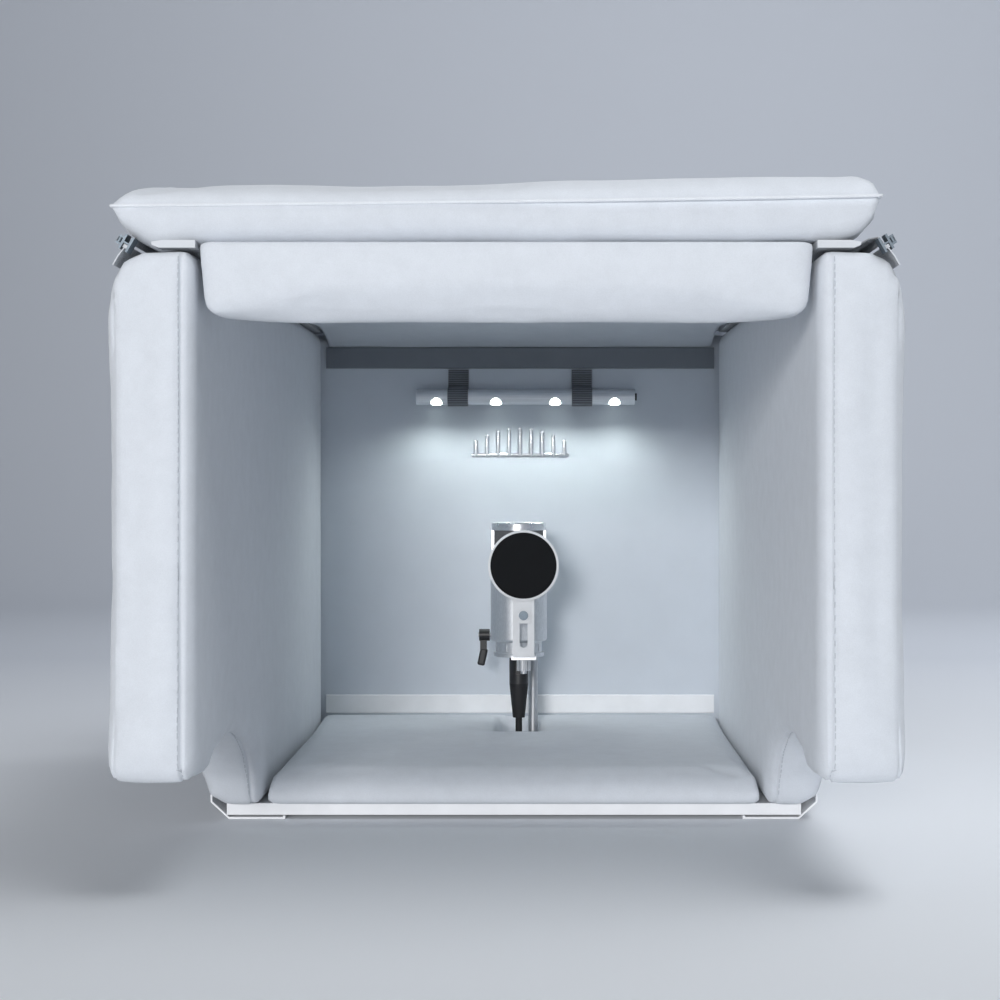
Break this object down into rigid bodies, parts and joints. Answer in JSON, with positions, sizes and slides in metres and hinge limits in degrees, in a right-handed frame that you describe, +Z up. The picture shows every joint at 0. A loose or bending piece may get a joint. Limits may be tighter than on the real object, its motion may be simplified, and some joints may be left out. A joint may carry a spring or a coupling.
{
  "type": "microphone isolation shield",
  "caption": "Portable vocal booth: padded side walls, rear wall, floor pad and zipped roof around a tilting microphone with pop screen and lamp.",
  "frame": {"origin": "centre of the bounding box's bottom face, under the two bracket rails", "axes": "+Z up, +X to the right seen from the open side, the open side faces -Y"},
  "size_m": [0.549, 0.84, 0.499],
  "materials": {
    "felt": "fine brushed felt, slightly fuzzy",
    "wall_cloth": "smooth cloth with a fine horizontal rib",
    "foam": "open-cell acoustic foam",
    "stiffener": "raw plywood",
    "white_board": "white laminate with a sealed edge",
    "white_steel": "satin white powder coat",
    "grey_steel": "satin grey powder coat",
    "steel": "zinc plated",
    "satin_steel": "satin",
    "black_steel": "black powder coat",
    "brass": "turned",
    "elastic": "ribbed elastic webbing",
    "chrome": "polished",
    "zip_tape": "woven zip tape with metal teeth",
    "zip_metal": "dark nickel",
    "brushed_aluminium": "brushed",
    "led_lens": "lit, clear",
    "battery": "printed film sleeve, plain",
    "black_plastic": "moulded",
    "black_rubber": "matt",
    "mic_nickel": "satin nickel",
    "mic_bright": "bright nickel",
    "mic_mesh": "woven wire",
    "circuit_green": "solder mask",
    "silver_paint": "satin silver",
    "black_gauze": "fine nylon gauze"
  },
  "bodies": {
    "shell": {"base_board": "white_board", "bracket_left": "white_steel", "bracket_right": "white_steel", "bracket_screws": "steel", "stand_inserts": "brass", "base_foam": "foam", "base_cover": "felt", "side_left_foam": "foam", "side_left_cover": "felt", "side_left_board": "stiffener", "side_right_foam": "foam", "side_right_cover": "felt", "side_right_board": "stiffener", "rear_foam": "foam", "rear_cover": "wall_cloth", "rear_board": "stiffener", "top_rail": "grey_steel", "bottom_rail": "white_steel", "light_straps": "elastic", "badge": "chrome", "zip_side_left": "zip_tape", "zip_side_right": "zip_tape", "roof_hinge_cloth": "felt"},
    "roof": {"roof_foam": "foam", "roof_cover": "felt", "roof_board": "stiffener", "ceiling_liner": "felt", "valance": "felt", "zip_roof_left": "zip_tape", "zip_roof_right": "zip_tape"},
    "zip_slider_left": {"zip_slider_left": "zip_metal"},
    "zip_slider_right": {"zip_slider_right": "zip_metal"},
    "zip_pull_left": {"zip_pull_left": "zip_metal"},
    "zip_pull_right": {"zip_pull_right": "zip_metal"},
    "light": {"light_tube": "brushed_aluminium", "light_lenses": "led_lens", "light_end_caps": "brushed_aluminium", "light_batteries": "battery"},
    "light_switch": {"light_switch": "black_plastic"},
    "carriage": {"mic_carriage": "black_steel", "mic_post": "satin_steel", "swivel_axle": "satin_steel", "floor_connector": "satin_steel", "mic_lead": "black_rubber"},
    "clamp_lever": {"clamp_lever": "black_plastic"},
    "microphone": {"mic_cradle": "mic_nickel", "mic_collar": "mic_nickel", "mic_body": "mic_nickel", "mic_grille_frame": "mic_bright", "mic_grille_mesh": "mic_mesh", "mic_capsule": "brass", "mic_circuit_board": "circuit_green", "xlr_plug": "black_plastic", "xlr_boot": "black_rubber", "pop_bracket": "silver_paint"},
    "thumb_screw": {"thumb_screw": "satin_steel"},
    "pop_screen": {"pop_ring": "silver_paint", "pop_mesh": "black_gauze", "pop_screw": "steel"}
  },
  "joints": [
    {"name": "roof_hinge", "type": "hinge", "parent": "shell", "child": "roof", "pos_m": [0, 0.419, 0.4555], "axis": [-1, 0, 0], "range_deg": [0, 110], "deforming": ["roof_hinge_cloth"]},
    {"name": "zip_left", "type": "slide", "parent": "shell", "child": "zip_slider_left", "axis": [0, 1, 0], "range_m": [0, 0.76]},
    {"name": "zip_pull_left", "type": "hinge", "parent": "zip_slider_left", "child": "zip_pull_left", "pos_m": [-0.26644, -0.416, 0.45885], "axis": [0.5, 0, 0.866], "range_deg": [0, 160]},
    {"name": "zip_right", "type": "slide", "parent": "shell", "child": "zip_slider_right", "axis": [0, 1, 0], "range_m": [0, 0.76]},
    {"name": "zip_pull_right", "type": "hinge", "parent": "zip_slider_right", "child": "zip_pull_right", "pos_m": [0.26644, -0.416, 0.45885], "axis": [0.5, 0, -0.866], "range_deg": [0, 160]},
    {"name": "light_aim", "type": "hinge", "parent": "shell", "child": "light", "pos_m": [0.006, 0.345, 0.3835], "axis": [1, 0, 0], "range_deg": [-40, 40]},
    {"name": "light_button", "type": "slide", "parent": "light", "child": "light_switch", "axis": [-1, 0, 0], "range_m": [0, 0.0015], "stiffness_N_per_m": 200},
    {"name": "mic_slide", "type": "slide", "parent": "shell", "child": "carriage", "axis": [0, 1, 0], "range_m": [-0.004, 0.034]},
    {"name": "lever_turn", "type": "hinge", "parent": "carriage", "child": "clamp_lever", "pos_m": [-0.036, 0.284, 0.131], "axis": [1, 0, 0], "range_deg": [-70, 70]},
    {"name": "mic_tilt", "type": "hinge", "parent": "carriage", "child": "microphone", "pos_m": [0, 0.284, 0.131], "axis": [1, 0, 0], "range_deg": [-12, 12], "deforming": ["mic_lead"]},
    {"name": "thumb_turn", "type": "hinge", "parent": "microphone", "child": "thumb_screw", "pos_m": [0.0055, 0.206, 0.106], "axis": [0, 0, 1], "range_deg": [-180, 180]},
    {"name": "pop_height", "type": "slide", "parent": "microphone", "child": "pop_screen", "axis": [0, 0, 1], "range_m": [-0.024, 0.004]}
  ]
}
